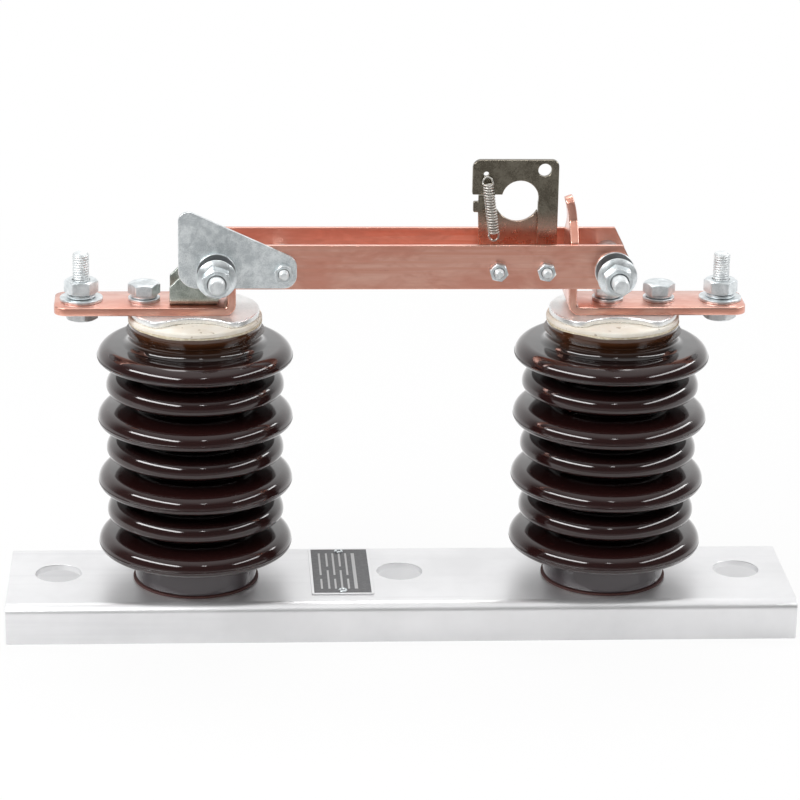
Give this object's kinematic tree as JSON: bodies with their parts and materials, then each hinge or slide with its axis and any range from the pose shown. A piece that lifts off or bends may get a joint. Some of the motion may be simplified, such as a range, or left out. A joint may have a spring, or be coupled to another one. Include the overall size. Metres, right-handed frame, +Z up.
{
  "type": "hook-stick disconnect switch on two post insulators",
  "caption": "Outdoor single-pole disconnect switch: twin copper blades on ribbed brown porcelain posts, with a sprung pull ring, on a steel channel.",
  "frame": {"origin": "middle of the steel channel's footprint, on the plane that it rests on", "axes": "+X from the hinge end to the jaw end, -Y to the front with the nameplate's reader, +Z up"},
  "size_m": [0.48, 0.118, 0.2896],
  "materials": {
    "galvanized_steel": "dull bright galvanizing",
    "plate_face": "dark printed field with a bare border",
    "gasket_board": "dull red-brown",
    "brown_glaze": "glossy dark brown glaze",
    "bare_porcelain": "matte, unglazed",
    "zinc_plate": "zinc plated sheet, satin",
    "zinc_fasteners": "bright zinc plated",
    "copper": "drawn copper, satin",
    "lever_plate": "dark olive passivated sheet",
    "spring_wire": "grey spring steel"
  },
  "bodies": {
    "frame": {"base_channel": "galvanized_steel", "cap_screw_inner_left": "zinc_fasteners", "cap_screw_inner_right": "zinc_fasteners", "cap_screw_outer_left": "zinc_fasteners", "cap_screw_outer_right": "zinc_fasteners", "cement_bed_left": "bare_porcelain", "cement_bed_right": "bare_porcelain", "gasket_left": "gasket_board", "gasket_right": "gasket_board", "hinge_bracket": "zinc_plate", "insulator_left": "brown_glaze", "insulator_right": "brown_glaze", "nameplate": "plate_face", "nameplate_rivets": "zinc_fasteners", "pivot_nut_back": "zinc_fasteners", "pivot_nut_front": "zinc_fasteners", "pivot_screw": "zinc_fasteners", "post_cap_left": "zinc_plate", "post_cap_right": "zinc_plate", "post_screw_left": "zinc_fasteners", "post_screw_right": "zinc_fasteners", "terminal_bar_left": "copper", "terminal_bar_right": "copper", "terminal_nut_left": "zinc_fasteners", "terminal_nut_right": "zinc_fasteners", "terminal_screw_left": "zinc_fasteners", "terminal_screw_right": "zinc_fasteners"},
    "switch_blade": {"anchor_screw": "zinc_fasteners", "anchor_screw_nuts": "zinc_fasteners", "blade_back": "copper", "blade_front": "copper", "blade_spacer": "zinc_fasteners", "contact_nut_back": "zinc_fasteners", "contact_nut_front": "zinc_fasteners", "contact_screw": "zinc_fasteners", "contact_spacer": "zinc_fasteners", "ring_cradle": "lever_plate", "ring_pin": "zinc_fasteners", "ring_pin_nuts": "zinc_fasteners", "stop_plate_front": "zinc_plate", "stop_screw": "zinc_fasteners", "stop_screw_nuts": "zinc_fasteners"},
    "latch": {"pull_lever": "lever_plate", "lever_spring": "spring_wire"}
  },
  "joints": [
    {"name": "blade_hinge", "type": "hinge", "parent": "frame", "child": "switch_blade", "pos_m": [-0.1131, 0, 0.2266], "axis": [0, -1, 0], "range_deg": [0, 102.5]},
    {"name": "lever_pin", "type": "hinge", "parent": "switch_blade", "child": "latch", "pos_m": [0.0821, 0, 0.2266], "axis": [0, 1, 0], "range_deg": [0, 4], "stiffness_Nm_per_rad": 1, "springref_deg": -20.05, "deforming": ["lever_spring"]}
  ]
}
